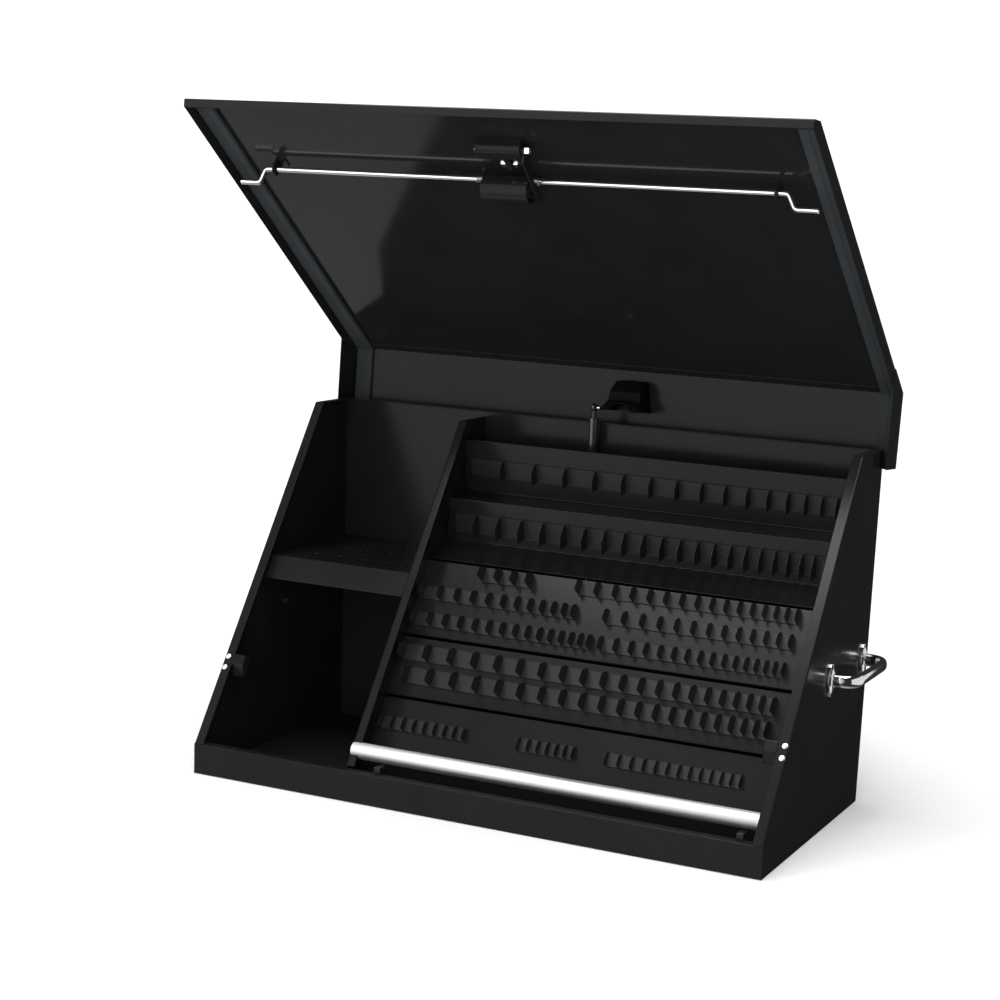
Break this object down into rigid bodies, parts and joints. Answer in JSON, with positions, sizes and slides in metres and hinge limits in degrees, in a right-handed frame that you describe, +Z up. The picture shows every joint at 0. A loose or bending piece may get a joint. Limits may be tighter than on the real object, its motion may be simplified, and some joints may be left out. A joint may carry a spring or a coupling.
{
  "type": "top tool chest",
  "caption": "Slant-front steel top tool chest with a gas-strut lid, a latch rod released by a push button, a divider, holed shelf, finned racks and tiers, and side handles.",
  "frame": {"origin": "middle of the box's footprint, on the surface that its base stands on", "axes": "+X to the right of someone facing the front, +Y to the back, +Z up; the lid is stored open, with its hinge joint at 0"},
  "size_m": [1.002, 0.5036, 0.9948],
  "materials": {
    "black_powder_coat": "gloss black powder coat",
    "textured_black": "fine textured black powder coat",
    "black_plastic": "satin moulded plastic",
    "grey_foam": "dark grey closed-cell foam rubber",
    "bright_zinc": "bright zinc-plated steel",
    "polished_tube": "satin polished steel tube",
    "chrome": "bright chrome plate",
    "spring_steel": "plated spring wire"
  },
  "bodies": {
    "box": {"right_side_panel": "black_powder_coat", "left_side_panel": "black_powder_coat", "back_panel": "black_powder_coat", "floor_pan": "textured_black", "divider": "black_powder_coat", "holed_shelf": "black_powder_coat", "stepped_rack": "black_powder_coat", "rear_rack_fins": "black_plastic", "front_rack_fins": "black_plastic", "upper_tier": "black_powder_coat", "middle_tier": "black_powder_coat", "lower_tier": "black_powder_coat", "upper_tier_fins": "black_plastic", "middle_tier_fins": "black_plastic", "lower_tier_fins": "black_plastic", "front_bar": "polished_tube", "bar_tabs": "black_powder_coat", "right_catch": "black_powder_coat", "left_catch": "black_powder_coat", "catch_screws": "bright_zinc", "right_handle": "chrome", "left_handle": "chrome", "handle_bolts": "bright_zinc", "hinge_leaf_box": "black_powder_coat", "hinge_pin": "bright_zinc", "hinge_rivets": "bright_zinc", "lower_strut_plate": "black_powder_coat", "lower_ball_stud": "bright_zinc"},
    "lid": {"lid_front_panel": "black_powder_coat", "lid_cap": "black_powder_coat", "right_lid_seal": "grey_foam", "left_lid_seal": "grey_foam", "rod_guides": "black_powder_coat", "rocker_pin": "bright_zinc", "rocker_nut": "bright_zinc", "retaining_clip": "bright_zinc", "rocker_bracket": "black_powder_coat", "right_torsion_spring": "spring_steel", "left_torsion_spring": "spring_steel", "lock_bezel": "chrome", "upper_ball_stud": "bright_zinc", "strut_bracket": "black_powder_coat", "hinge_leaf_lid": "black_powder_coat"},
    "latch_rod_body": {"latch_rod": "bright_zinc", "release_lever": "black_powder_coat"},
    "rocker_body": {"rocker": "black_powder_coat"},
    "button_body": {"push_button": "chrome", "stem_bolt": "bright_zinc", "stem_nut": "bright_zinc"},
    "lock_core_body": {"lock_core": "chrome"},
    "strut_tube_body": {"strut_tube": "black_powder_coat"},
    "strut_rod_body": {"strut_rod": "bright_zinc"}
  },
  "joints": [
    {"name": "lid_hinge", "type": "hinge", "parent": "box", "child": "lid", "pos_m": [0, 0.2192, 0.513], "axis": [1, 0, 0], "range_deg": [0, 94]},
    {"name": "button_press", "type": "slide", "parent": "lid", "child": "button_body", "axis": [0, -0.614, -0.7893], "range_m": [0, 0.0036], "stiffness_N_per_m": 900, "springref_m": -0.0005},
    {"name": "rocker_pivot", "type": "hinge", "parent": "lid", "child": "rocker_body", "pos_m": [0, -0.16997, 0.94248], "axis": [1, 0, 0], "range_deg": [-9.01, 0.01]},
    {"name": "latch_rod_turn", "type": "hinge", "parent": "lid", "child": "latch_rod_body", "pos_m": [0, -0.12616, 0.90271], "axis": [1, 0, 0], "range_deg": [-38.01, 0.01]},
    {"name": "lock_turn", "type": "hinge", "parent": "button_body", "child": "lock_core_body", "pos_m": [0.00675, -0.14129, 0.93538], "axis": [0, -0.614, -0.7893], "range_deg": [0, 90]},
    {"name": "strut_upper_pivot", "type": "hinge", "parent": "lid", "child": "strut_tube_body", "pos_m": [-0.002, 0.195, 0.564], "axis": [1, 0, 0], "range_deg": [-86.33, 0.01]},
    {"name": "strut_slide", "type": "slide", "parent": "strut_tube_body", "child": "strut_rod_body", "axis": [0, 0.0182, -0.9998], "range_m": [-0.07647, 0.00001]}
  ],
  "couplings": [
    {"joint": "rocker_pivot", "follows": "button_press", "rad_per_m": -43.633},
    {"joint": "latch_rod_turn", "follows": "button_press", "rad_per_m": -184.23},
    {"joint": "strut_upper_pivot", "follows": "lid_hinge", "ratio": -0.91826},
    {"joint": "strut_slide", "follows": "lid_hinge", "m_per_rad": -0.046602}
  ]
}
